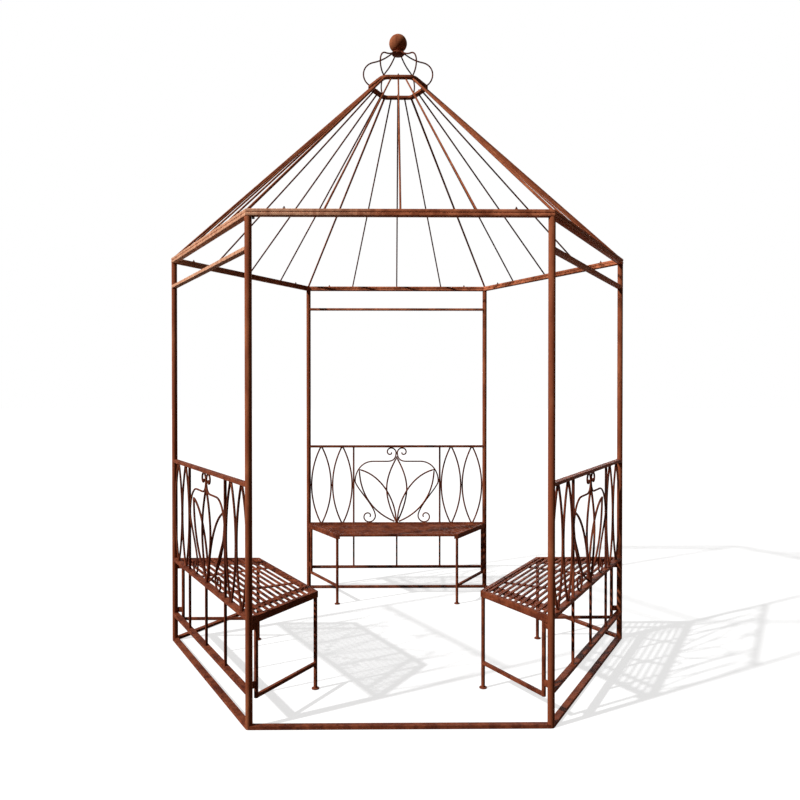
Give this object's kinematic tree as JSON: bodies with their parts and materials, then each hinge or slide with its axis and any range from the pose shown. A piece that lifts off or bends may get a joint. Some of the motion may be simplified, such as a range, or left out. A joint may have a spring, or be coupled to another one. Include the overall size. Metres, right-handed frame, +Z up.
{
  "type": "garden gazebo",
  "caption": "Hexagonal open garden gazebo of steel tube and rod, with slatted benches, lotus scrollwork backs and a rod roof under a ball finial.",
  "frame": {"origin": "ground level, centre of the hexagonal plan", "axes": "+Z up, +X to the right-hand corner post, -Y out of the open front bay"},
  "size_m": [2.5346, 2.195, 3.388],
  "materials": {
    "rusted_steel": "matte rust-brown weathered steel"
  },
  "bodies": {
    "root": {"post_right": "rusted_steel", "post_back_right": "rusted_steel", "post_back_left": "rusted_steel", "post_left": "rusted_steel", "post_front_left": "rusted_steel", "post_front_right": "rusted_steel", "base_rails_open_bays": "rusted_steel", "base_rails_bench_bays": "rusted_steel", "eave_rails_open_bays": "rusted_steel", "eave_rails_bench_bays": "rusted_steel", "roof_sills_open_bays": "rusted_steel", "roof_sills_bench_bays": "rusted_steel", "roof_rods_back": "rusted_steel", "roof_rods_back_left": "rusted_steel", "roof_rods_front_left": "rusted_steel", "roof_rods_front": "rusted_steel", "roof_rods_front_right": "rusted_steel", "roof_rods_back_right": "rusted_steel", "hip_rods": "rusted_steel", "crown_ring": "rusted_steel", "finial_wires": "rusted_steel", "finial_hub": "rusted_steel", "finial_ball": "rusted_steel", "upper_rails": "rusted_steel", "panel_rails_back": "rusted_steel", "panel_rails_left": "rusted_steel", "panel_rails_right": "rusted_steel", "panel_bars_back": "rusted_steel", "panel_bars_left": "rusted_steel", "panel_bars_right": "rusted_steel", "lotus_back": "rusted_steel", "lotus_left": "rusted_steel", "lotus_right": "rusted_steel", "lenses_back": "rusted_steel", "lenses_left": "rusted_steel", "lenses_right": "rusted_steel", "seat_back": "rusted_steel", "seat_left": "rusted_steel", "seat_right": "rusted_steel", "bench_rails_back": "rusted_steel", "bench_rails_left": "rusted_steel", "bench_rails_right": "rusted_steel", "bench_legs_back": "rusted_steel", "bench_legs_left": "rusted_steel", "bench_legs_right": "rusted_steel"}
  },
  "joints": []
}
